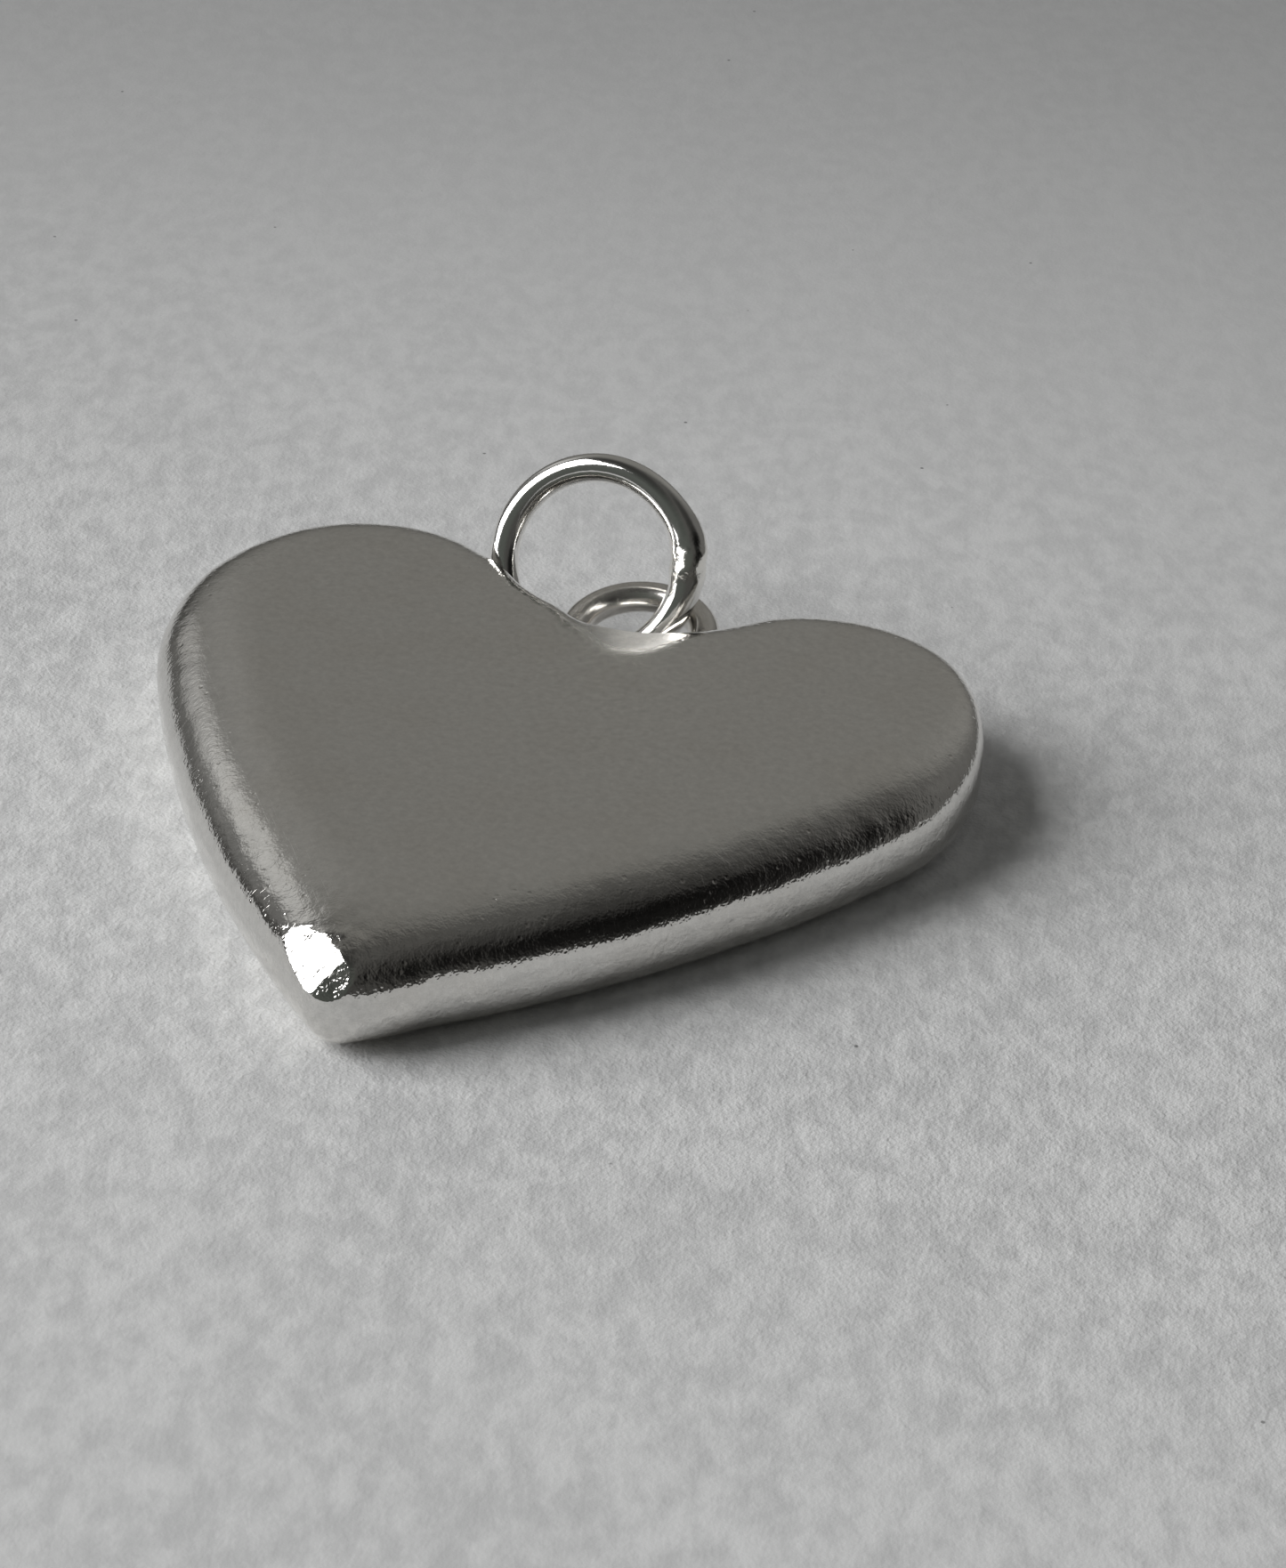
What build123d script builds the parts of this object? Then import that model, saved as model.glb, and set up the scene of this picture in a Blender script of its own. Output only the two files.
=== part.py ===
from build123d import *
from math import atan2, cos, degrees, radians, sin, sqrt
import os

os.makedirs("parts", exist_ok=True)

# Heart outline from above, in mm: tip towards -Y, lobes towards +Y, each half five tangent arcs
lobe_spread = 9.42        # between the centres of the two lobe arcs
lobe_radius = 6.37        # outer side of a lobe
shoulder_radius = 4.15    # tighter arc over the top of a lobe, down into the cleft
shoulder_start = 39.0     # direction, from +X, in which the lobe arc hands over to it, degrees
cleft_radius = 4.34
side_radius = 39.9        # long, nearly straight side between a lobe and the tip
tip_radius = 1.0
tip_reach = 15.11         # from the line through the lobe centres to the end of the tip

# Heart section: a cushion, widest at its waist, with a flat back and a slightly crowned front
thickness = 3.1
waist_height = 1.52
front_edge_width = 0.83   # how far the front edge rounds in
back_edge_width = 1.9     # how far the back edge rounds in
crown_width = 3.2         # border over which the front still rises
crown_rise = 0.2
finest_radius = 0.12      # smallest arc left where the sides meet at the tip

# Eyelet: a closed round-wire ring soldered into the cleft
eyelet_mean_radius = 1.84
eyelet_wire = 0.83
eyelet_offset = 0.22      # to the right of the heart's centre line
eyelet_tilt = 10.0        # its far side is a little higher, degrees
solder_bite = 0.24        # how far its wire sits in the wall of the cleft
solder_fillet = 0.22

# Jump ring: a closed round-wire ring through the eyelet, stood on its rim and leaning back
ring_outer_diameter = 6.02
ring_wire = 0.84
ring_lean = 27.5          # from upright, degrees
ring_turn = -3.0          # about the vertical, degrees
ring_shift = 0.2          # its lowest point, to the right of the eyelet's left wire
ring_advance = -0.1       # its lowest point, behind the eyelet's middle
ring_lift = 0.015         # clear of the surface it stands on
ring_clearance = 0.14     # from the top of its wire up to the eyelet's
solder_swell = 0.06       # how far the solder stands proud of the wire

# Places worked out from the sizes above, with Y measured from the line through the lobe centres
ring_mean_radius = (ring_outer_diameter - ring_wire) / 2
shoulder_x = lobe_spread / 2 + (lobe_radius - shoulder_radius) * cos(radians(shoulder_start))
shoulder_y = (lobe_radius - shoulder_radius) * sin(radians(shoulder_start))
cleft_y = shoulder_y + sqrt((shoulder_radius + cleft_radius) ** 2 - shoulder_x**2)
cleft_floor_y = cleft_y - cleft_radius
eyelet_y = cleft_floor_y + eyelet_mean_radius * cos(radians(eyelet_tilt)) + eyelet_wire / 2 - solder_bite
eyelet_height = ring_lift + ring_wire + ring_clearance + eyelet_wire / 2
ring_x = eyelet_offset - eyelet_mean_radius + ring_shift
ring_y = eyelet_y + ring_advance + ring_mean_radius * sin(radians(ring_lean))
ring_height = ring_mean_radius * cos(radians(ring_lean)) + ring_wire / 2 + ring_lift
ring_axis = Vector(0, -cos(radians(ring_lean)), sin(radians(ring_lean))).rotate(Axis.Z, ring_turn)
ring_back_y = ring_y + ring_mean_radius * sqrt(1 - ring_axis.Y**2) + ring_wire / 2

# The origin is under the middle of the whole pendant
middle_y = (ring_back_y - tip_reach) / 2
lobe_line = Plane((0, -middle_y, 0))


# Centre of the circle that holds two others inside it and touches both
def side_centre():
    tip = Vector(0, tip_radius - tip_reach)
    lobe = Vector(lobe_spread / 2, 0)
    apart = lobe - tip
    to_tip, to_lobe = side_radius - tip_radius, side_radius - lobe_radius
    along = (to_tip**2 - to_lobe**2 + apart.length**2) / (2 * apart.length)
    across = sqrt(to_tip**2 - along**2)
    direction = apart.normalized()
    return tip + direction * along + Vector(-direction.Y, direction.X) * across


def direction_of(centre_x, centre_y, x, y):
    return degrees(atan2(y - centre_y, x - centre_x))


# The outline moved in by an inset, at a height: every arc keeps its centre, and the tip its tangency
def heart_section(inset, height):
    side = side_centre()
    tip = max(tip_radius - inset, finest_radius)
    tip_y = side.Y - sqrt((side_radius - inset - tip) ** 2 - side.X**2)
    tip_end = direction_of(side.X, side.Y, 0, tip_y)
    lobe_start = direction_of(side.X, side.Y, lobe_spread / 2, 0)
    shoulder_end = direction_of(shoulder_x, shoulder_y, 0, cleft_y)
    shoulder_turn = shoulder_end - shoulder_start
    with BuildSketch(lobe_line.offset(height)) as section:
        with BuildLine():
            CenterArc((0, tip_y), tip, -90, tip_end + 90)
            CenterArc((side.X, side.Y), side_radius - inset, tip_end, lobe_start - tip_end)
            CenterArc((lobe_spread / 2, 0), lobe_radius - inset, lobe_start, shoulder_start - lobe_start)
            CenterArc((shoulder_x, shoulder_y), shoulder_radius - inset, shoulder_start, shoulder_turn)
            CenterArc((0, cleft_y), cleft_radius + inset, shoulder_end - 180, 90 - shoulder_end)
            mirror(about=Plane.YZ)
        make_face()
    return section.sketch


# Levels of the cushion as (inset, height): the rounded back, the rounded front edge, then the crown
back_angles = (90, 62, 36, 14, 0)
front_angles = (0, 20, 42, 62, 78, 90)
crown_shares = (0.45, 0.7, 1.0)


def back_level(angle):
    return back_edge_width * (1 - cos(radians(angle))), waist_height * (1 - sin(radians(angle)))


def front_level(angle):
    inset = front_edge_width * (1 - cos(radians(angle)))
    rise = crown_rise * (1 - (1 - inset / crown_width) ** 2)
    return inset, waist_height + (thickness - waist_height - crown_rise) * sin(radians(angle)) + rise


def crown_level(share):
    return crown_width * share, thickness - crown_rise * (1 - share) ** 2


back_levels = [back_level(angle) for angle in back_angles]
front_levels = [front_level(angle) for angle in front_angles]
crown_levels = [front_levels[-1]] + [crown_level(share) for share in crown_shares]

eyelet_plane = Plane(
    origin=(eyelet_offset, eyelet_y - middle_y, eyelet_height),
    x_dir=(1, 0, 0),
    z_dir=(0, -sin(radians(eyelet_tilt)), cos(radians(eyelet_tilt))),
)
ring_plane = Plane(
    origin=(ring_x, ring_y - middle_y, ring_height),
    x_dir=Vector(1, 0, 0).rotate(Axis.Z, ring_turn),
    z_dir=ring_axis,
)

# Heart, with its eyelet soldered on
with BuildPart() as heart:
    for levels in (back_levels, front_levels, crown_levels):
        loft(sections=[heart_section(inset, height) for inset, height in levels])
    with Locations(eyelet_plane):
        Torus(eyelet_mean_radius, eyelet_wire / 2)
    fillet(heart.edges(Select.NEW), radius=solder_fillet)

# Jump ring, with the bead of solder that closes it
with BuildPart(ring_plane) as jump_ring:
    Torus(ring_mean_radius, ring_wire / 2)
    with Locations((ring_mean_radius, 0)):
        Sphere(ring_wire / 2 + solder_swell)

heart.part.label = "heart"
export_step(heart.part, "parts/heart.step")
jump_ring.part.label = "jump_ring"
export_step(jump_ring.part, "parts/jump_ring.step")
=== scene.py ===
import bpy
import bmesh
import math
from mathutils import Matrix, Vector, kdtree, noise


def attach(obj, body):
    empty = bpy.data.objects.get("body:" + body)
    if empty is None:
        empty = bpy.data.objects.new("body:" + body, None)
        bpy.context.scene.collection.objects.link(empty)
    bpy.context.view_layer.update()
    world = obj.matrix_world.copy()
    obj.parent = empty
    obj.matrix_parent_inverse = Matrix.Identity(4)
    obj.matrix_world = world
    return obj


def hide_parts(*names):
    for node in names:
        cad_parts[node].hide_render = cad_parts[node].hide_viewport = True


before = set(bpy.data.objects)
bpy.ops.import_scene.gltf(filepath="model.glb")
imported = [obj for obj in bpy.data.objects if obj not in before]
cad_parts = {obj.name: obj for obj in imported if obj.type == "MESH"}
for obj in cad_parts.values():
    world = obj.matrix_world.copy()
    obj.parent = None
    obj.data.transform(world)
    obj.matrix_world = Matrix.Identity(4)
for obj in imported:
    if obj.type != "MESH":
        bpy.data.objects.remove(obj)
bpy.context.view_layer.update()                        # the CAD model is the fixed frame, in metres
mm = 0.001                               # pieces are shaped in millimetres and scaled at the end
print("frame loaded:", ", ".join(sorted(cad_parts)))


# Shader maths: a Flow is one output socket, and sums on flows add their Math nodes
class Flow:
    def __init__(self, socket):
        self.socket = socket

    def make(self, kind, settings, sockets, outlet=0):
        tree = self.socket.id_data
        made = tree.nodes.new("ShaderNode" + kind)
        for name, value in settings.items():
            setattr(made, name, value)
        for name, value in sockets.items():
            if isinstance(value, Flow):
                tree.links.new(value.socket, made.inputs[name])
            else:
                made.inputs[name].default_value = value
        return Flow(made.outputs[outlet])

    def maths(self, operation, first, second=0.0):
        return self.make("Math", {"operation": operation}, {0: first, 1: second})

    def __add__(self, other):
        return self.maths("ADD", self, other)

    def __radd__(self, other):
        return self.maths("ADD", other, self)

    def __sub__(self, other):
        return self.maths("SUBTRACT", self, other)

    def __rsub__(self, other):
        return self.maths("SUBTRACT", other, self)

    def __mul__(self, other):
        return self.maths("MULTIPLY", self, other)

    def __rmul__(self, other):
        return self.maths("MULTIPLY", other, self)

    def __abs__(self):
        return self.maths("ABSOLUTE", self)

    def step(self, low, high):            # 0 below low, 1 above high, smooth between them
        return self.make("MapRange", {"interpolation_type": "SMOOTHSTEP"},
                         {"Value": self, "From Min": low, "From Max": high})

    def vector(self, operation, other=(0.0, 0.0, 0.0), scale=1.0):
        outlet = 1 if operation in ("DOT_PRODUCT", "LENGTH", "DISTANCE") else 0
        return self.make("VectorMath", {"operation": operation}, {0: self, 1: other, 3: scale}, outlet)

    def stretched(self, turn, scale):     # these coordinates turned, then scaled along each axis
        turned = self.make("Mapping", {"vector_type": "POINT"}, {"Vector": self, "Rotation": turn})
        return turned.vector("MULTIPLY", scale)

    def noise(self, scale, detail=2.0, roughness=0.5):
        return self.make("TexNoise", {"noise_dimensions": "3D"},
                         {"Vector": self, "Scale": scale, "Detail": detail, "Roughness": roughness})

    def cells(self, scale, outlet=0):     # distance to the nearest cell's centre, or with outlet 1 its colour
        return self.make("TexVoronoi", {"feature": "F1"}, {"Vector": self, "Scale": scale}, outlet)

    def blend(self, first, second, how="MIX"):       # this flow mixes two colours
        return self.make("Mix", {"data_type": "RGBA", "blend_type": how}, {0: self, 6: first, 7: second}, 2)


def newMaterial(name):
    material = bpy.data.materials.new(name)
    material.use_nodes = True
    tree = material.node_tree
    tree.nodes.clear()
    output = tree.nodes.new("ShaderNodeOutputMaterial")
    spots = Flow(tree.nodes.new("ShaderNodeTexCoord").outputs["Object"])
    return material, spots, output


def finishMaterial(output, shader):
    output.id_data.links.new(shader.socket, output.inputs["Surface"])


def addObject(name, data):
    made = bpy.data.objects.new(name, data)
    bpy.context.scene.collection.objects.link(made)
    return made


def meshObject(name, bm):
    mesh = bpy.data.meshes.new(name)
    bm.to_mesh(mesh)
    bm.free()
    return addObject(name, mesh)


# A piece's shape from millimetres to the frame's metres, shaded smooth
def pieceObject(name, bm):
    bmesh.ops.scale(bm, vec=(mm, mm, mm), verts=bm.verts)
    for face in bm.faces:
        face.smooth = True
    return meshObject(name, bm)


def smoothStep(value, low, high):
    share = min(max((value - low) / (high - low), 0.0), 1.0)
    return share * share * (3 - 2 * share)


# Camera: where the photograph was taken from, in millimetres and degrees
camera = {
    "azimuth": 19.63,
    "elevation": 31.24,
    "roll": 2.45,
    "distance": 104.35,
    "target": (2.356, 3.574, 0.0),
    "lens": 91.94,
    "filmWidth": 36.0,
    "nearest": 0.005,                     # what it sees, from here to there, in metres
    "farthest": 20.0,
}


def makeCamera():
    azimuth, elevation, roll = (math.radians(camera[name]) for name in ("azimuth", "elevation", "roll"))
    level = math.cos(elevation)
    back = Vector((math.sin(azimuth) * level, -math.cos(azimuth) * level, math.sin(elevation)))
    right = Vector((math.cos(azimuth), math.sin(azimuth), 0.0))
    turned = Matrix.Rotation(roll, 3, back)
    right = turned @ right
    up = back.cross(right)
    data = bpy.data.cameras.new("camera")
    data.lens = camera["lens"]
    data.sensor_width = camera["filmWidth"]
    data.clip_start = camera["nearest"]
    data.clip_end = camera["farthest"]
    shooter = addObject("camera", data)
    eye = (Vector(camera["target"]) + back * camera["distance"]) * mm
    shooter.matrix_world = Matrix.Translation(eye) @ Matrix((right, up, back)).transposed().to_4x4()
    bpy.context.scene.camera = shooter


makeCamera()
print("camera placed")


# Light: one large soft window to the left and a faint fill that lifts the shadows on the paper.
# Azimuth runs from +Y towards -X
light = {
    "distance": 600.0,
    "tint": (1.0, 1.0, 1.0),
    "windowAzimuth": 113.0,
    "windowElevation": 34.5,
    "windowSize": (430.0, 560.0),
    "windowPower": 4.3,
    "fillAzimuth": -60.0,
    "fillElevation": 55.0,
    "fillSize": (500.0, 500.0),
    "fillPower": 0.19,
}

# The dim room that the silver mirrors
room = {
    "shade": (0.058, 0.057, 0.054),
    "patches": (                          # as (azimuth, elevation, inner edge, outer edge, colour added)
        (13.0, 34.0, 9.0, 43.0, (0.120, 0.118, 0.110)),
        (50.0, 29.0, 5.0, 22.0, (0.060, 0.060, 0.059)),
        (56.0, 21.0, 3.0, 11.0, (0.150, 0.150, 0.148)),
        (63.0, 34.0, 3.0, 13.0, (0.260, 0.260, 0.256)),
        (66.0, 10.0, 4.0, 16.0, (0.060, 0.060, 0.059)),
        (75.0, 34.0, 8.0, 28.0, (0.080, 0.080, 0.079)),
        (-45.0, 10.0, 20.0, 55.0, (0.058, 0.057, 0.055)),
        (160.0, 36.0, 10.0, 50.0, (0.018, 0.026, 0.021)),
        (0.0, 90.0, 0.0, 45.0, (0.020, 0.020, 0.019)),
    ),
    "corners": (                          # as (azimuth, elevation, inner edge, outer edge, share of light left)
        (-98.0, 28.0, 10.0, 34.0, 0.14),
        (-85.0, 52.0, 8.0, 28.0, 0.50),
        (125.0, 68.0, 8.0, 38.0, 0.40),
    ),
}


def compass(azimuth, elevation):
    azimuth, elevation = math.radians(azimuth), math.radians(elevation)
    level = math.cos(elevation)
    return Vector((-math.sin(azimuth) * level, math.cos(azimuth) * level, math.sin(elevation)))


def makeLight(name, mirrored):            # whether the silver mirrors it, too
    data = bpy.data.lights.new(name, "AREA")
    data.shape = "RECTANGLE"
    data.size = light[name + "Size"][0] * mm
    data.size_y = light[name + "Size"][1] * mm
    data.energy = light[name + "Power"]
    data.color = light["tint"]
    lamp = addObject(name, data)
    towards = compass(light[name + "Azimuth"], light[name + "Elevation"])
    lamp.location = towards * light["distance"] * mm
    lamp.rotation_euler = towards.to_track_quat("Z", "Y").to_euler()
    lamp.visible_camera = False
    lamp.visible_glossy = mirrored


# 1 near a direction of the room, 0 beyond its outer edge
def roomSpot(way, azimuth, elevation, inner, outer):
    near = way.vector("DOT_PRODUCT", compass(azimuth, elevation))
    return near.step(math.cos(math.radians(outer)), math.cos(math.radians(inner)))


def makeRoom():
    world = bpy.data.worlds.new("room")
    bpy.context.scene.world = world
    world.use_nodes = True
    tree = world.node_tree
    tree.nodes.clear()
    output = tree.nodes.new("ShaderNodeOutputWorld")
    way = Flow(tree.nodes.new("ShaderNodeTexCoord").outputs["Generated"])
    shade = (*room["shade"], 1.0)
    for *spot, added in room["patches"]:
        shade = roomSpot(way, *spot).blend(shade, (*added, 1.0), "ADD")
    for *spot, left in room["corners"]:
        shade = roomSpot(way, *spot).blend(shade, (left, left, left, 1.0), "MULTIPLY")
    glow = way.make("Background", {}, {"Color": shade, "Strength": 1.0})
    tree.links.new(glow.socket, output.inputs["Surface"])


makeLight("window", True)
makeLight("fill", False)
makeRoom()
bpy.context.scene.view_settings.view_transform = "Standard"
print("window, fill and room lit")


# Floor: a sheet of pale, faintly fibrous paper
floorPaper = {
    "side": 3000.0,
    "pale": (0.725, 0.728, 0.728),
    "dull": (0.585, 0.588, 0.590),
    "grainTurn": 19.6,                    # its fibres run this way, and so are its marks drawn out, by a share
    "drawnOut": 0.6,
    "drift": (2.0, 0.35),                 # its marks are bent: size of the bends, and how far
    "broad": 6.0,                         # sizes of its clouds, soft mottling, fibres and grain
    "lump": 0.64,
    "fibre": 0.28,
    "grain": 0.11,
    "tones": (0.14, 0.60, 0.24, 0.08),    # how much each of the four tells in its colour
    "toneEdges": (0.37, 0.63),
    "relief": 0.085,
    "heights": (0.25, 0.30, 0.32),        # how much mottling, fibres and grain tell in its relief
    "specks": (2.6, 0.026, 0.016, 0.6),   # dark specks: spacing, outer and inner edge, how dark
    "roughness": 0.95,
    "gloss": 0.2,
    "paintedLightMiddle": (0.008, -0.030, 0.0),    # painted light falloff: away from here, in metres, the sheet's colour is painted darker
    "fade": (30.0, 110.0, 0.56),          # painted falloff: from this distance to that one, its colour goes down to this share
    "calm": (-6.0, 12.0, 46.0, 0.70),     # its mottling is clear to 12 about Y -6, and calmer by a share at 46
    "fineCalm": (-1.0, 5.0, 24.0, 0.84),  # the same for its fibres and grain
}


def calmness(along, middle, clear, blurred, lost):
    return 1 - abs(along - middle * mm).step(clear * mm, blurred * mm) * lost


def paperMaterial():
    paper = floorPaper
    material, spots, output = newMaterial("palePaper")
    along = spots.make("SeparateXYZ", {}, {0: spots}, 1)
    drawn = spots.stretched((0, 0, math.radians(-paper["grainTurn"])), (1, paper["drawnOut"], 1))
    bendSize, bend = paper["drift"]
    drift = drawn.make("TexNoise", {"noise_dimensions": "3D"},
                       {"Vector": drawn, "Scale": 1 / (bendSize * mm), "Detail": 0.0}, 1)
    bent = drawn.vector("ADD", drift.vector("SCALE", scale=bend * mm))
    lumps = bent.noise(1 / (paper["lump"] * mm), 3.0, 0.62)
    broad = drawn.noise(1 / (paper["broad"] * mm), 1.0, 0.5)
    fibres = bent.noise(1 / (paper["fibre"] * mm), 1.0, 0.6)
    grain = spots.noise(1 / (paper["grain"] * mm), 1.0, 0.6)
    calm = calmness(along, *paper["calm"])
    fineCalm = calmness(along, *paper["fineCalm"])
    cloudShare, lumpShare, fibreShare, grainShare = paper["tones"]
    fine = (fibres - 0.5) * fibreShare + (grain - 0.5) * grainShare
    centred = (1 - cloudShare - lumpShare) / 2
    tone = (lumps * lumpShare + broad * cloudShare + fine * fineCalm + centred).step(*paper["toneEdges"])
    tone = (tone - 0.5) * calm + 0.5
    spacing, outer, inner, dark = paper["specks"]
    specks = spots.cells(1 / (spacing * mm)).step(outer, inner)
    # Painted shade: the paper's colour darkens away from its lit middle, standing in for the window's light
    # falling off; the dark specks are the paper's own
    near, far, share = paper["fade"]
    away = spots.vector("DISTANCE", paper["paintedLightMiddle"])
    paintedFalloffAndSpecks = (1 - away.step(near * mm, far * mm) * (1 - share)) * (1 - specks * dark)
    colour = tone.blend((*paper["dull"], 1.0), (*paper["pale"], 1.0)).vector("SCALE", scale=paintedFalloffAndSpecks)
    lumpHeight, fibreHeight, grainHeight = paper["heights"]
    height = lumps * lumpHeight * calm + (fibres * fibreHeight + grain * grainHeight) * fineCalm
    bump = spots.make("Bump", {}, {"Strength": 1.0, "Distance": paper["relief"] * mm, "Height": height})
    finishMaterial(output, spots.make("BsdfPrincipled", {}, {
        "Base Color": colour, "Roughness": paper["roughness"], "Normal": bump,
        "Specular IOR Level": paper["gloss"]}))
    return material


def makeFloor():
    bm = bmesh.new()
    bmesh.ops.create_grid(bm, x_segments=2, y_segments=2, size=floorPaper["side"] * mm / 2)
    floor = meshObject("floor", bm)
    floor.data.materials.append(paperMaterial())


makeFloor()
print("floor laid")


# Heart: the CAD solid's outline arcs, and a section that changes from the tip to the lobes, in millimetres
heart = {
    "lobeSpread": 9.42,
    "lobeRadius": 6.37,
    "shoulderRadius": 4.15,
    "shoulderStart": 39.0,
    "cleftRadius": 4.34,
    "sideRadius": 39.9,
    "tipRadius": 1.0,
    "tipReach": 15.11,
    "finestRadius": 0.12,
    "lobeLine": 3.905,                    # Y of the line through the lobe centres
    "thickness": 3.1,
    "waist": 1.52,
    "tipCurve": (3.6, 2.7),               # reach and power of the front's curve at the tip
    "sideCurve": (2.8, 2.3),
    "lobeCurve": (2.4, 4.5),
    "cleftCurve": (1.3, 6.0),
    "tipBlend": (-9.5, -5.5),             # from this Y to that one the tip's curve turns into the side's
    "lobeBlend": (0.5, 7.0),              # and the side's into the lobe's
    "cleftBlend": (0.4, 1.6, 3.0, 4.6),   # left of the middle the cleft's own comes in, and goes out again
    "backCurve": (1.6, 2.5),
    "ridgePower": 4.0,                    # how sharply the two sides meet along the tip
    "ridgeFrom": (0.3, 0.9),              # the ridge begins between these insets
    "ridgeEnd": (-6.0, -4.0),             # and ends between these Y
    "arcSteps": (12, 130, 68, 54, 36),    # tip, side, lobe, shoulder and cleft of one half
    "backLevels": 20,
    "frontLevels": 46,
    "frontTurn": 84.0,                    # the last of them lies just below the flat top
    "crowding": 1.3,                      # how much closer they stand where the section is steep
    "mergedWithin": 0.002,
    "middle": (0.0, -1.5),                # the flat front and back shrink towards this point
    "topRings": 36,
    "backRings": 16,
}

# Eyelet: a round-wire ring soldered into the cleft
eyelet = {
    "centre": (0.30, 8.487, 1.410),
    "meanRadius": 1.77,
    "wire": 0.83,
    "tilt": 10.0,
    "steps": 150,
    "sides": 36,
    "solderReach": 0.42,                  # how far from the seam the solder smooths the metal
    "solderPasses": 14,
    "solderNarrows": 0.6,                 # by the last pass the reach has shrunk by this share
    "mergedWithin": 0.004,
}


# An arc of edges round a centre, from a vertex to the one it returns
def spinVert(bm, vert, centre, angle, steps):
    spun = bmesh.ops.spin(bm, geom=[vert], cent=(centre.x, centre.y, vert.co.z), axis=(0, 0, 1), dvec=(0, 0, 0),
                          angle=angle, steps=steps, use_merge=False, use_normal_flip=False, use_duplicate=False)
    return next(part for part in spun["geom_last"] if isinstance(part, bmesh.types.BMVert))


def pasteInto(bm, part):
    mesh = bpy.data.meshes.new("part")
    part.to_mesh(mesh)
    part.free()
    bm.from_mesh(mesh)
    bpy.data.meshes.remove(mesh)


def heading(centre, place):
    return math.atan2(place.y - centre.y, place.x - centre.x)


# Centre of the right-hand side's long arc, which touches the tip's circle and the lobe's from outside
def sideCentre():
    h = heart
    tip = Vector((0, h["tipRadius"] - h["tipReach"]))
    apart = Vector((h["lobeSpread"] / 2, 0)) - tip
    toTip, toLobe = h["sideRadius"] - h["tipRadius"], h["sideRadius"] - h["lobeRadius"]
    along = (toTip**2 - toLobe**2 + apart.length**2) / (2 * apart.length)
    way = apart.normalized()
    return tip + way * along + Vector((-way.y, way.x)) * math.sqrt(toTip**2 - along**2)


# The outline moved in by an inset, at a height: five tangent arcs spun from the tip, then mirrored
def outlineLoop(bm, inset, height):
    h = heart
    spread = h["lobeSpread"] / 2
    lobe = Vector((spread, 0))
    side = sideCentre()
    start = math.radians(h["shoulderStart"])
    reach = h["lobeRadius"] - h["shoulderRadius"]
    shoulder = Vector((spread + reach * math.cos(start), reach * math.sin(start)))
    cleft = Vector((0, shoulder.y + math.sqrt((h["shoulderRadius"] + h["cleftRadius"]) ** 2 - shoulder.x**2)))
    tipRadius = max(h["tipRadius"] - inset, h["finestRadius"])
    tip = Vector((0, side.y - math.sqrt((h["sideRadius"] - inset - tipRadius) ** 2 - side.x**2)))
    tipEnd = heading(side, tip)
    lobeStart = heading(side, lobe)
    shoulderEnd = heading(shoulder, cleft)
    arcs = [(tip, tipEnd + math.pi / 2), (side, lobeStart - tipEnd), (lobe, start - lobeStart),
            (shoulder, shoulderEnd - start), (cleft, math.pi / 2 - shoulderEnd)]
    lift = Vector((0, h["lobeLine"]))
    outline = bmesh.new()
    vert = outline.verts.new((tip.x, tip.y - tipRadius + lift.y, height))
    for (centre, angle), steps in zip(arcs, h["arcSteps"]):
        vert = spinVert(outline, vert, centre + lift, angle, steps)
    bmesh.ops.mirror(outline, geom=outline.verts[:] + outline.edges[:], matrix=Matrix(),
                     merge_dist=h["mergedWithin"], axis="X")
    known = len(bm.edges)
    pasteInto(bm, outline)
    bm.edges.ensure_lookup_table()
    return bm.edges[known:]


def bridge(bm, first, second):
    bmesh.ops.bridge_loops(bm, edges=first + second, use_pairs=False, use_cyclic=False, use_merge=False,
                           merge_factor=0.5, twist_offset=0)


# From a loop, rings that shrink towards the middle and close in one point
def closeFlat(bm, loop, rings):
    middle = Vector((*heart["middle"], 0))
    shrunk = 1.0
    for ring in range(1, rings + 1):
        grown = bmesh.ops.extrude_edge_only(bm, edges=loop)["geom"]
        corners = [part for part in grown if isinstance(part, bmesh.types.BMVert)]
        loop = [part for part in grown if isinstance(part, bmesh.types.BMEdge) and part.is_boundary]
        wanted = max(1 - ring / rings, 1e-3)
        factor = wanted / shrunk
        bmesh.ops.scale(bm, vec=(factor, factor, 1), space=Matrix.Translation(-middle), verts=corners)
        shrunk = wanted
    corners = list(dict.fromkeys(v for e in loop for v in e.verts))
    bmesh.ops.pointmerge(bm, verts=corners, merge_co=(middle.x, middle.y, corners[0].co.z))


# Rise of a curve at an inset, from 0 at the waist to 1: 2 as power is an ellipse, more is squarer
def curveRise(inset, curve):
    reach, power = curve
    share = min(max(1 - inset / reach, 0), 1)
    return (1 - share**power) ** (1 / power)


# Levels as (inset, height), from the edge of the flat back to the edge of the flat front
def sectionLevels():
    h = heart
    levels = []
    reach, power = h["backCurve"]
    for step in range(h["backLevels"]):
        a = math.pi / 2 * (1 - step / h["backLevels"]) ** h["crowding"]
        inset = reach * (1 - math.cos(a) ** (2 / power))
        levels.append((inset, h["waist"] * (1 - math.sin(a) ** (2 / power))))
    reach, power = h["tipCurve"]
    for step in range(h["frontLevels"] + 1):
        a = math.radians(h["frontTurn"]) * (step / h["frontLevels"]) ** h["crowding"]
        inset = reach * (1 - math.cos(a) ** (2 / power))
        levels.append((inset, h["waist"] + (h["thickness"] - h["waist"]) * curveRise(inset, h["tipCurve"])))
    levels.append((reach, h["thickness"]))
    return levels


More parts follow.
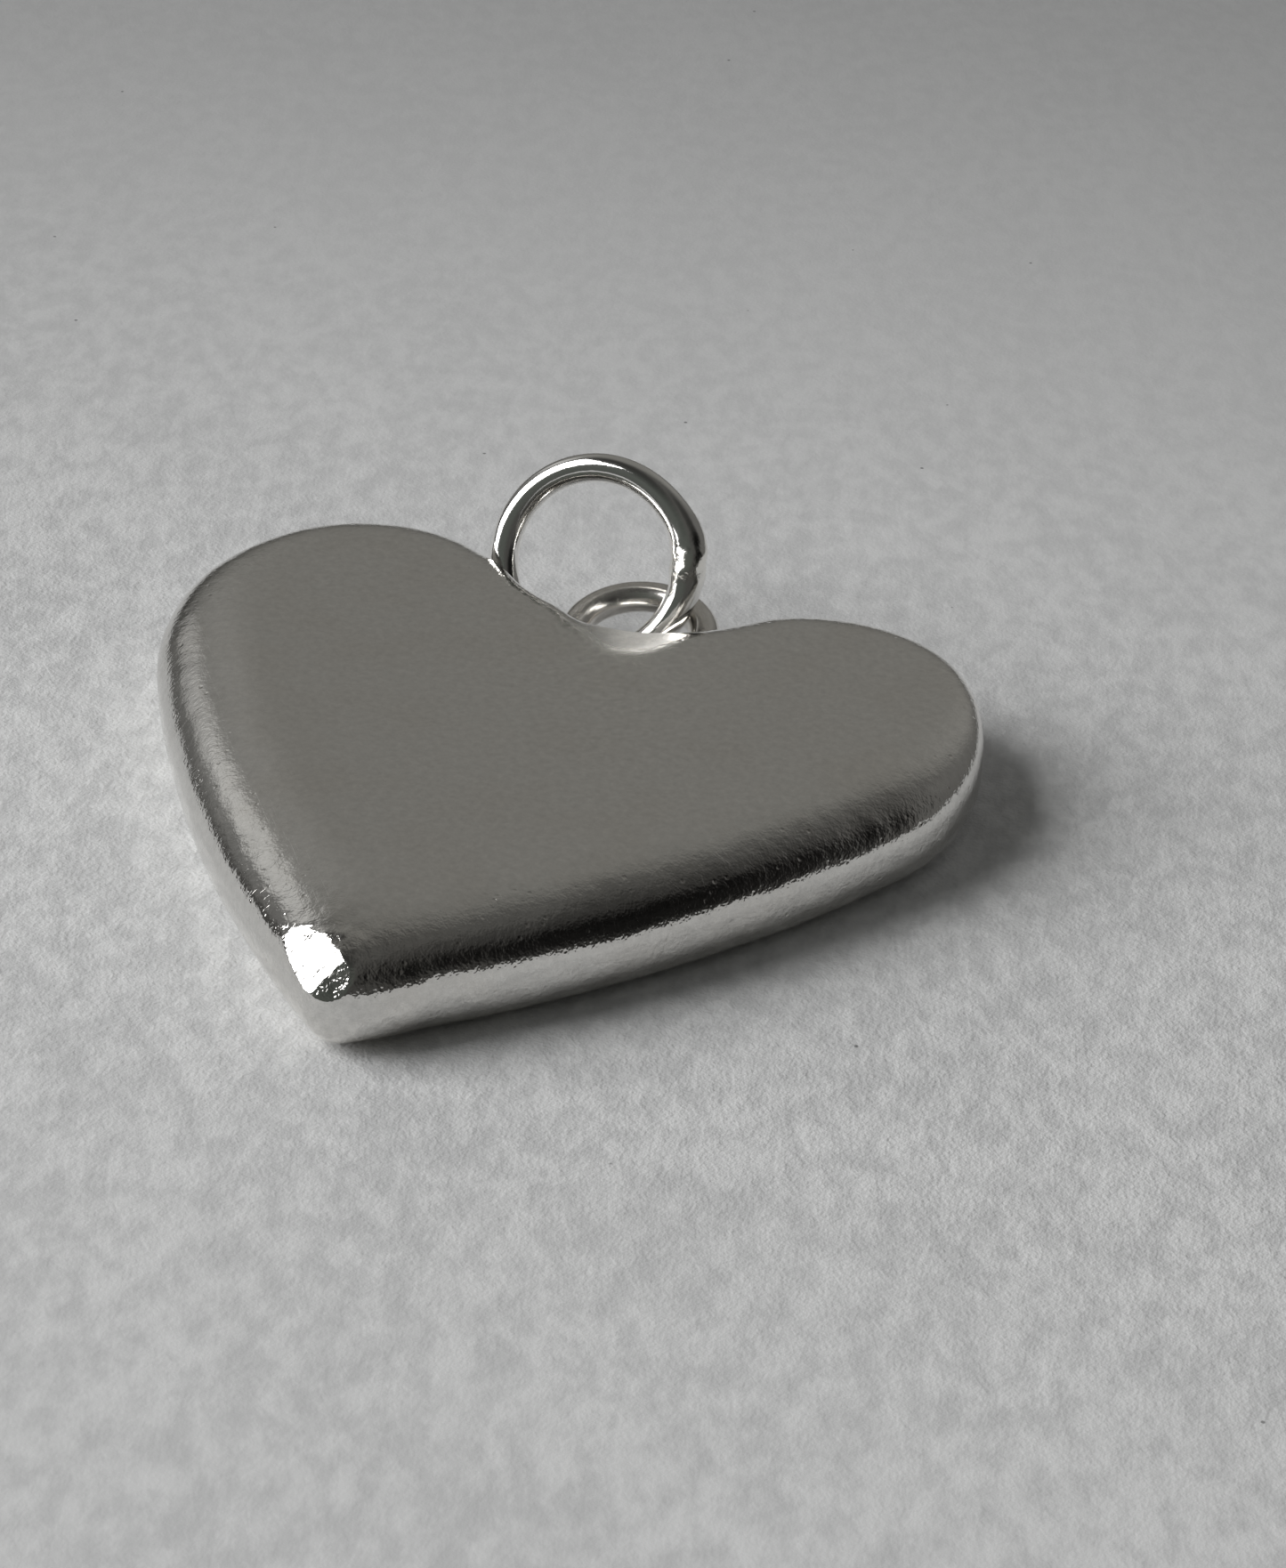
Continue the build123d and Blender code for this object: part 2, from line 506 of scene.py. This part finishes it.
# The front's rise at a place, by its distance from a side: from the tip on, one curve turns into the next
def localRise(place, inset):
    h = heart
    rise = curveRise(inset, h["tipCurve"])
    lobes = smoothStep(place.y, *h["lobeBlend"])
    cleft = smoothStep(-place.x, *h["cleftBlend"][:2]) * (1 - smoothStep(-place.x, *h["cleftBlend"][2:]))
    sides = smoothStep(place.y, *h["tipBlend"])
    for name, share in (("sideCurve", sides), ("lobeCurve", lobes), ("cleftCurve", lobes * cleft)):
        rise += (curveRise(inset, h[name]) - rise) * share
    return rise


# Height of the front at a place, rounded where the two sides meet at the tip
def frontHeight(place, inset):
    h = heart
    side = sideCentre()
    y = place.y - h["lobeLine"] - side.y
    near, far = (h["sideRadius"] - Vector((abs(place.x) + x, y)).length for x in (-side.x, side.x))
    ridge = smoothStep(inset, *h["ridgeFrom"]) * (1 - smoothStep(place.y, *h["ridgeEnd"]))
    near = inset + (near - inset) * ridge
    near, far = localRise(place, near), localRise(place, far)
    power = h["ridgePower"]
    rise = (near**-power + far**-power - 1) ** (-1 / power) if near > 0 and far > 0 else 0.0
    return h["waist"] + (h["thickness"] - h["waist"]) * rise


def heartBody():
    bm = bmesh.new()
    levels = sectionLevels()
    loops = [outlineLoop(bm, inset, height) for inset, height in levels]
    for first, second in zip(loops, loops[1:]):
        bridge(bm, first, second)
    for loop, (inset, height) in list(zip(loops, levels))[heart["backLevels"]:-1]:
        for vert in {v for e in loop for v in e.verts}:
            vert.co.z = frontHeight(vert.co, inset)
    closeFlat(bm, loops[0], heart["backRings"])
    closeFlat(bm, loops[-1], heart["topRings"])
    bmesh.ops.recalc_face_normals(bm, faces=bm.faces)
    return bm


def wireRing(bm, meanRadius, wire, sides, steps):
    circle = bmesh.ops.create_circle(bm, cap_ends=False, segments=sides, radius=wire / 2)["verts"]
    bmesh.ops.rotate(bm, cent=(0, 0, 0), matrix=Matrix.Rotation(math.pi / 2, 3, "X"), verts=circle)
    bmesh.ops.translate(bm, vec=(meanRadius, 0, 0), verts=circle)
    edges = list(dict.fromkeys(edge for vert in circle for edge in vert.link_edges))
    bmesh.ops.spin(bm, geom=circle + edges, cent=(0, 0, 0), axis=(0, 0, 1), dvec=(0, 0, 0), angle=2 * math.pi,
                   steps=steps, use_merge=True, use_normal_flip=False, use_duplicate=False)
    bmesh.ops.recalc_face_normals(bm, faces=bm.faces)


# The operators' order differs from run to run, and so would what is merged: this one is always the same
def sortMesh(bm):
    keys = (lambda vert: vert.co[:], lambda face: sorted(vert.co[:] for vert in face.verts))
    for parts, key in zip((bm.verts, bm.faces), keys):
        ranks = {part: rank for rank, part in enumerate(sorted(parts, key=key))}
        parts.sort(key=ranks.get)


# Joins the eyelet to the body, then smooths the seam into a fillet of solder
def soldered(bodyBm, eyeletBm):
    body = meshObject("heartBody", bodyBm)
    ring = meshObject("heartEyelet", eyeletBm)
    for polygon in ring.data.polygons:
        polygon.material_index = 1        # marks the eyelet's faces, so that the seam can be found
    for made in (body, ring):
        made.data.materials.append(None)
        made.data.materials.append(None)
    union = body.modifiers.new("soldered", "BOOLEAN")
    union.object = ring
    union.operation = "UNION"
    union.solver = "EXACT"
    graph = bpy.context.evaluated_depsgraph_get()
    joined = bpy.data.meshes.new_from_object(body.evaluated_get(graph))
    bm = bmesh.new()
    bm.from_mesh(joined)
    for made in (body, ring):
        bpy.data.objects.remove(made)
    sortMesh(bm)
    bmesh.ops.remove_doubles(bm, verts=bm.verts, dist=eyelet["mergedWithin"])
    seam = [e for e in bm.edges if len({f.material_index for f in e.link_faces}) == 2]
    print("  seam edges:", len(seam))
    tree = kdtree.KDTree(len(seam))
    for number, edge in enumerate(seam):
        tree.insert((edge.verts[0].co + edge.verts[1].co) / 2, number)
    tree.balance()
    near = [(tree.find(v.co)[2], v) for v in bm.verts]
    for done in range(eyelet["solderPasses"]):
        limit = eyelet["solderReach"] * (1 - eyelet["solderNarrows"] * done / eyelet["solderPasses"])
        bmesh.ops.smooth_vert(bm, verts=[v for away, v in near if away < limit], factor=0.5,
                              use_axis_x=True, use_axis_y=True, use_axis_z=True)
    for face in bm.faces:
        face.material_index = 0
    return bm


# How the metal was worked by hand, in millimetres
handWork = {
    "edgeBand": (0.4, 2.6),               # the worked edge fades out between these distances from the outline
    "wireWithin": (3.2, 2.4),             # the eyelet lies this close to the middle and this low
    "wireBand": (0.1, 0.5),               # and counts as wire from these distances outside the outline
    "waves": (                            # as (wavelength, height, height on the flat faces)
        (12.0, 0.05, 0.05),
        (6.5, 0.034, 0.022),
        (2.4, 0.018, 0.004),
        (0.9, 0.008, 0.0006),
        (0.45, 0.0035, 0.0),
    ),
    "planed": (                           # flats as (normal, depth, middle, reach)
        ((-0.31, -0.60, 0.74), 0.21, (-0.62, -9.8, 2.75), 1.6),
        ((-0.02, -0.76, 0.65), 0.17, (-0.20, -10.6, 2.5), 1.5),
    ),
    "planedFade": 1.6,                    # a flat has faded out at this many times its reach
    "pressed": (                          # dents and, where negative, swellings as (middle, reach, depth)
        ((1.3, -10.35, 1.1), 1.5, -0.10),
        ((-2.3, 8.6, 2.55), 1.2, -0.06),
        ((1.0, 5.7, 3.1), 1.3, 0.03),
        ((-3.9, -7.2, 2.8), 0.8, 0.02),
        ((9.3, -0.2, 2.6), 0.8, 0.02),
        ((5.2, -5.9, 2.6), 1.1, 0.02),
    ),
    "chewed": (                           # small knocks side by side, as (middle, reach, wavelength, height)
        ((-0.5, -10.1, 2.6), 1.4, 0.36, 0.034),
        ((-0.5, -10.1, 2.6), 1.4, 0.17, 0.016),
        ((-1.7, -9.4, 2.3), 0.6, 0.24, 0.018),
        ((-2.6, -8.5, 2.3), 0.6, 0.22, 0.015),
        ((-3.9, -7.4, 2.4), 0.5, 0.22, 0.012),
        ((0.9, -10.3, 2.2), 0.9, 0.30, 0.012),
    ),
}


# The outline at the waist as a list of (place, way along it), in order
def waistLine():
    bm = bmesh.new()
    outlineLoop(bm, 0.0, 0.0)
    vert = min(bm.verts, key=lambda v: v.co.y)
    edge = max(vert.link_edges, key=lambda e: e.other_vert(vert).co.x)
    places, run = [(vert.co.copy(), 0.0)], 0.0
    while True:
        run += edge.calc_length()
        vert = edge.other_vert(vert)
        places.append((vert.co.copy(), run))
        if len(places) > len(bm.verts):
            break
        edge = next(e for e in vert.link_edges if e is not edge)
    bm.free()
    return places


# For every vertex: the number of the outline's nearest place, how far away it is, and how worn the metal is
def nearestOnLine(bm, line):
    tree = kdtree.KDTree(len(line) - 1)
    for number, (place, run) in enumerate(line[:-1]):
        tree.insert(place, number)
    tree.balance()
    nearest = {}
    for vert in bm.verts:
        place, number, away = tree.find((vert.co.x, vert.co.y, 0))
        nearest[vert] = (number, away, 1 - smoothStep(away, *handWork["edgeBand"]))
    return nearest


# Only the eyelet lies outside the outline, behind the cleft
def wireShare(place, onLine, away):
    sideways, low = handWork["wireWithin"]
    outside = abs(place.x) < sideways and place.y > onLine.y and place.z < low
    return smoothStep(away, *handWork["wireBand"]) if outside else 0.0


def planeFlats(bm):
    fade = handWork["planedFade"]
    flats = []
    for normal, depth, middle, reach in handWork["planed"]:
        normal, middle = Vector(normal).normalized(), Vector(middle)
        close = [v for v in bm.verts if (v.co - middle).length < reach * fade]
        flats.append((normal, max(v.co.dot(normal) for v in close) - depth, middle, reach, close))
    for normal, level, middle, reach, close in flats:
        for vert in close:
            over = vert.co.dot(normal) - level
            if over > 0:
                away = (vert.co - middle).length
                vert.co -= normal * over * (1 - smoothStep(away, reach, reach * fade))


def pressDents(bm):
    for middle, reach, depth in handWork["pressed"]:
        for vert in bm.verts:
            away = (vert.co - Vector(middle)).length
            if away < reach:
                vert.co -= vert.normal * depth * (1 - (away / reach) ** 2) ** 2


# How far a place is moved out by the waves and knocks
def waveHeight(place, edge):
    height = sum(noise.noise(place / length) * (edge * tall + (1 - edge) * flat)
                 for length, tall, flat in handWork["waves"])
    for middle, reach, length, tall in handWork["chewed"]:
        away = (place - Vector(middle)).length
        if away < reach:
            height += noise.noise(place / length) * tall * (1 - (away / reach) ** 2)
    return height


# Unrolls the worked edge: U runs along the outline and V across it, both in millimetres
def unrollEdge(bm, around, line, nearest):
    total = line[-1][1]
    for face in bm.faces:
        runs = [line[nearest[corner.vert][0]][1] for corner in face.loops]
        wrapped = max(runs) - min(runs) > total / 2
        for corner, run in zip(face.loops, runs):
            if wrapped and run < total / 2:
                run += total
            height = corner.vert.co.z - heart["waist"]
            away = nearest[corner.vert][1]
            corner[around].uv = (run, height + (away if height > 0 else -away))


def workMetal(bm):
    worn = bm.verts.layers.float.new("worn")
    wire = bm.verts.layers.float.new("wire")
    around = bm.loops.layers.uv.new("around")
    line = waistLine()
    nearest = nearestOnLine(bm, line)
    for vert, (number, away, edge) in nearest.items():
        vert[worn] = edge
        vert[wire] = wireShare(vert.co, line[number][0], away)
    bm.normal_update()
    planeFlats(bm)
    pressDents(bm)
    bm.normal_update()
    moves = [vert.normal * waveHeight(vert.co, nearest[vert][2]) for vert in bm.verts]
    for vert, move in zip(bm.verts, moves):
        vert.co += move
        vert.co.z = max(vert.co.z, 0.0)
    unrollEdge(bm, around, line, nearest)


def makeHeart():
    body = heartBody()
    print("  body faces:", len(body.faces))
    ring = bmesh.new()
    wireRing(ring, eyelet["meanRadius"], eyelet["wire"], eyelet["sides"], eyelet["steps"])
    lean = Matrix.Rotation(math.radians(eyelet["tilt"]), 4, "X")
    bmesh.ops.transform(ring, matrix=Matrix.Translation(eyelet["centre"]) @ lean, verts=ring.verts)
    bm = soldered(body, ring)
    workMetal(bm)
    return pieceObject("heartPiece", bm)


# Its silver: sizes in millimetres, heights and depths in thousandths of one
satin = {
    "silver": (0.915, 0.900, 0.868),
    "warm": (0.850, 0.815, 0.765),        # faint tarnish
    "tarnish": (0.4, 0.4, 0.5),           # how much of it in the blotches, in the pits and on the wire
    "brightness": (0.95, 0.43),           # its mean, and how far the mottling moves it
    "flatRoughness": 0.17,
    "edgeRoughness": 0.085,
    "wireRoughness": 0.13,
    "uneven": (0.06, 0.08, 0.05),         # how far blotches, mottling and cross scratches move the roughness
    "blotch": (2.6, 0.42, 0.72),          # as (size, noise where it begins, noise where it is full)
    "patch": (1.4, 0.42, 0.62),           # the edge is scratched in patches
    "mottle": 0.22,
    "cleftGlow": ((1.0, 6.2, 2.8), 0.5, 1.8, 0.38),   # roughened by heat: middle, full to, gone from, amount
    "side": (1.5, 0.9),                   # the steep sides reach to between these distances from the waist
    "paintedSideShade": 0.13,                    # painted shade: how much their colour is darkened, standing in for the darker reflections they show
    "ripple": (0.55, 14.0, 1.0, 0.5),     # marks of the edge as (size, height, noise detail, noise roughness)
    "fineRipple": (0.13, 8.0, 1.0, 0.6),
    "grain": (0.05, 2.6, 0.0, 0.5),
    "leftOnFlats": (0.08, 0.3),           # how much of the fine ripple and the grain is left on the flat faces
    "leftOnWire": 0.15,                   # and how much of all of them on the wire
    "roughShares": (1.2, 0.6),            # fine ripple added where roughened by heat, and on the steep sides
    "crossLines": (0.12, (0.045, 0.8, 1.0), (0.66, 0.78)),    # fine scratches as (turn, sizes, edges)
    "slantedLines": (-0.35, (0.06, 1.1, 1.0), (0.68, 0.80)),
    "hairLines": (0.9, (1.6, 0.035, 1.6), (0.66, 0.74)),
    "crossDepth": 1.2,
    "slantedDepth": 0.84,
    "hairDepth": 0.5,
    "pit": (0.30, 8.0),                   # spacing and depth
    "pitWall": (0.26, 0.05),              # a pit begins and is full at these shares of the spacing
    "pitted": (0.70, 0.74),               # about this share of the places has none
    "prickRadius": 0.009,
    "pricks": (                           # pinpricks as (place, depth)
        ((3.80, -4.95, 3.1), 4.0),
        ((5.90, -3.05, 3.1), 3.0),
        ((6.65, 0.85, 3.1), 2.4),
        ((8.35, -1.15, 2.85), 9.0),
        ((9.12, -0.45, 2.70), 8.0),
        ((10.98, 2.75, 2.0), 8.0),
        ((0.45, -11.10, 2.0), 8.0),
    ),
}


# Ripples up and down from the surface
def ripples(spots, size, tall, detail, roughness):
    return (spots.noise(1 / (size * mm), detail, roughness) - 0.5) * tall


# Fine lines, drawn out by their sizes along each axis: 1 on a line, 0 beside it
def fineLines(place, turn, sizes, edges, unit=1.0):
    drawn = place.stretched((0, 0, turn), [1 / (size * unit) for size in sizes])
    return drawn.noise(1.0, 0.0, 0.5).step(*edges)


def nearness(spots, place, full, gone):   # 1 up to the full distance, 0 beyond the other
    return spots.vector("DISTANCE", [along * mm for along in place]).step(gone * mm, full * mm)


def satinSilver():
    material, spots, output = newMaterial("satinSilver")
    worn = spots.make("Attribute", {"attribute_name": "worn"}, {}, 2)
    wire = spots.make("Attribute", {"attribute_name": "wire"}, {}, 2)
    around = spots.make("UVMap", {"uv_map": "around"}, {})
    edge = worn * (1 - wire * (1 - satin["leftOnWire"]))
    side = abs(spots.make("SeparateXYZ", {}, {0: around}, 1)).step(*satin["side"]) * (1 - wire)
    *glow, glowRoughness = satin["cleftGlow"]
    glow = nearness(spots, *glow)

    fineLeft, grainLeft = satin["leftOnFlats"]
    onGlow, onSide = satin["roughShares"]
    raised = ripples(spots, *satin["ripple"]) * edge
    fineShare = edge * (1 - fineLeft) + fineLeft + glow * onGlow + side * onSide
    raised += ripples(spots, *satin["fineRipple"]) * fineShare
    raised += ripples(spots, *satin["grain"]) * (edge * (1 - grainLeft) + grainLeft)

    size, *levels = satin["patch"]
    cross = fineLines(around, *satin["crossLines"]) * spots.noise(1 / (size * mm), 1.0, 0.5).step(*levels)
    slanted = fineLines(around, *satin["slantedLines"])
    hair = fineLines(spots, *satin["hairLines"], mm)
    spacing, pitDepth = satin["pit"]
    chosen = spots.make("SeparateColor", {}, {0: spots.cells(1 / (spacing * mm), 1)}, 0).step(*satin["pitted"])
    pits = spots.cells(1 / (spacing * mm)).step(*satin["pitWall"]) * chosen * worn
    cut = (cross * satin["crossDepth"] + slanted * satin["slantedDepth"]) * worn
    cut += hair * satin["hairDepth"] + pits * pitDepth
    for place, depth in satin["pricks"]:
        cut += nearness(spots, place, 0.0, satin["prickRadius"]) * depth
    bump = spots.make("Bump", {}, {"Strength": 1.0, "Distance": 0.001 * mm, "Height": raised - cut})

    size, *levels = satin["blotch"]
    blotch = spots.noise(1 / (size * mm), 3.0, 0.6)
    mottle = spots.noise(1 / (satin["mottle"] * mm), 4.0, 0.75) - 0.5
    inBlotches, inPits, onWire = satin["tarnish"]
    tarnish = blotch.step(*levels) * inBlotches + pits * inPits + wire * onWire
    mean, moved = satin["brightness"]
    # Painted shade: the steep sides' colour is darkened to stand in for their darker reflections; the mottling
    # is the metal's own tone
    brightness = (mean + mottle * moved) * (1 - side * satin["paintedSideShade"])
    colour = tarnish.blend((*satin["silver"], 1.0), (*satin["warm"], 1.0)).vector("SCALE", scale=brightness)
    byBlotch, byMottle, byLine = satin["uneven"]
    roughness = (worn * (satin["edgeRoughness"] - satin["flatRoughness"]) + satin["flatRoughness"]
                 + wire * (satin["wireRoughness"] - satin["edgeRoughness"])
                 + (blotch - 0.5) * byBlotch + mottle * byMottle + cross * byLine + glow * glowRoughness)
    finishMaterial(output, spots.make("BsdfPrincipled", {}, {
        "Base Color": colour, "Metallic": 1.0, "Roughness": roughness, "Normal": bump}))
    return material


heartPiece = makeHeart()
heartPiece.data.materials.append(satinSilver())
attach(heartPiece, "root")
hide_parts("heart")
print("heart shaped and soldered:", len(heartPiece.data.polygons), "faces")


# Jump ring: a closed wire ring through the eyelet, leaning back, thicker where solder closes it
jumpRing = {
    "centre": (-1.47, 9.583, 2.732),
    "lean": 27.5,
    "turn": -3.0,
    "meanRadius": 2.59,
    "oval": 1.022,                        # its width against its height
    "wire": 0.80,
    "steps": 360,
    "sides": 48,
    "joint": 17.0,                        # direction of the joint from the ring's right-hand side, degrees
    "slant": 14.0,                        # degrees by which the cut through the wire runs on per millimetre
    "swells": ((34.0, 34.0, 0.15), (13.0, 11.0, 0.16)),   # thickening as (degrees above, degrees below, share)
    "outward": (0.13, 30.0),              # how far the thick part stands out, and its width in degrees
    "inward": (0.05, 25.0),               # how far the wire's lower end lies further in, and over what width
    "inwardStep": (-3.0, 6.0),            # in degrees below the joint
    "notch": (0.05, 8.0),                 # depth of the nick in the outer side, and its width
    "lumps": (0.42, 0.070, 13.0),         # wavelength and height of the lumps, and the width of where they are
    "solderWidth": 12.0,                  # in degrees
}


def bell(value, width):
    return math.exp(-((value / width) ** 2))


def workJoint(bm):
    r = jumpRing
    solder = bm.verts.layers.float.new("solder")
    outward, outWidth = r["outward"]
    inward, inWidth = r["inward"]
    notch, notchWidth = r["notch"]
    lumpSize, lumpHeight, lumpWidth = r["lumps"]
    half = r["wire"] / 2
    for vert in bm.verts:
        turn = math.atan2(vert.co.y, vert.co.x)
        rim = Vector((math.cos(turn), math.sin(turn), 0))
        out = vert.co - rim * r["meanRadius"]
        outer = max(out.dot(rim) / half, 0) ** 2
        away = math.degrees(turn) - r["joint"] + out.z * r["slant"]
        thick = 1 + sum(share * bell(away, above if away > 0 else below) for above, below, share in r["swells"])
        thick += noise.noise(vert.co / lumpSize) * lumpHeight * bell(away, lumpWidth) / half
        push = outward * bell(away, outWidth)
        push -= inward * smoothStep(-away, *r["inwardStep"]) * bell(away, inWidth)
        push -= notch * bell(away, notchWidth) * outer
        vert.co = rim * (r["meanRadius"] + push) + out * thick
        vert.co.x *= r["oval"]
        vert[solder] = bell(away, r["solderWidth"])


def makeJumpRing():
    r = jumpRing
    bm = bmesh.new()
    wireRing(bm, r["meanRadius"], r["wire"], r["sides"], r["steps"])
    workJoint(bm)
    upright = Matrix.Rotation(math.radians(90 - r["lean"]), 4, "X")
    stand = Matrix.Translation(r["centre"]) @ Matrix.Rotation(math.radians(r["turn"]), 4, "Z") @ upright
    bmesh.ops.transform(bm, matrix=stand, verts=bm.verts)
    return pieceObject("jumpRingPiece", bm)


# Its silver: sizes in millimetres, heights and depths in thousandths of one
bright = {
    "silver": (0.940, 0.930, 0.905),
    "solder": (0.900, 0.880, 0.830),
    "solderTint": 0.8,                    # how much of the solder's colour shows at the joint
    "roughness": 0.10,
    "solderRoughness": 0.14,
    "uneven": 0.03,                       # how far the fine ripple moves the roughness
    "ripple": (0.5, 8.0, 2.0, 0.5),       # as (size, height, noise detail, noise roughness)
    "fineRipple": (0.14, 1.0, 2.0, 0.6),
    "fineHeights": (1.2, 13.0),           # how high the fine ripple is, and how much higher on the solder
    "speck": (1.3, 0.06, 0.02, 6.0),      # tiny pits as (spacing, share where one begins and is full, depth)
}


def brightSilver():
    material, spots, output = newMaterial("brightSilver")
    solder = spots.make("Attribute", {"attribute_name": "solder"}, {}, 2)
    fine = ripples(spots, *bright["fineRipple"])
    fineHeight, solderHeight = bright["fineHeights"]
    spacing, begins, full, depth = bright["speck"]
    specks = spots.cells(1 / (spacing * mm)).step(begins, full)
    height = ripples(spots, *bright["ripple"]) + fine * (solder * solderHeight + fineHeight) - specks * depth
    bump = spots.make("Bump", {}, {"Strength": 1.0, "Distance": 0.001 * mm, "Height": height})
    colour = (solder * bright["solderTint"]).blend((*bright["silver"], 1.0), (*bright["solder"], 1.0))
    roughness = (solder * (bright["solderRoughness"] - bright["roughness"]) + bright["roughness"]
                 + fine * bright["uneven"])
    finishMaterial(output, spots.make("BsdfPrincipled", {}, {
        "Base Color": colour, "Metallic": 1.0, "Roughness": roughness, "Normal": bump}))
    return material


ringPiece = makeJumpRing()
ringPiece.data.materials.append(brightSilver())
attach(ringPiece, "root")
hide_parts("jump_ring")
print("jump ring made:", len(ringPiece.data.polygons), "faces")
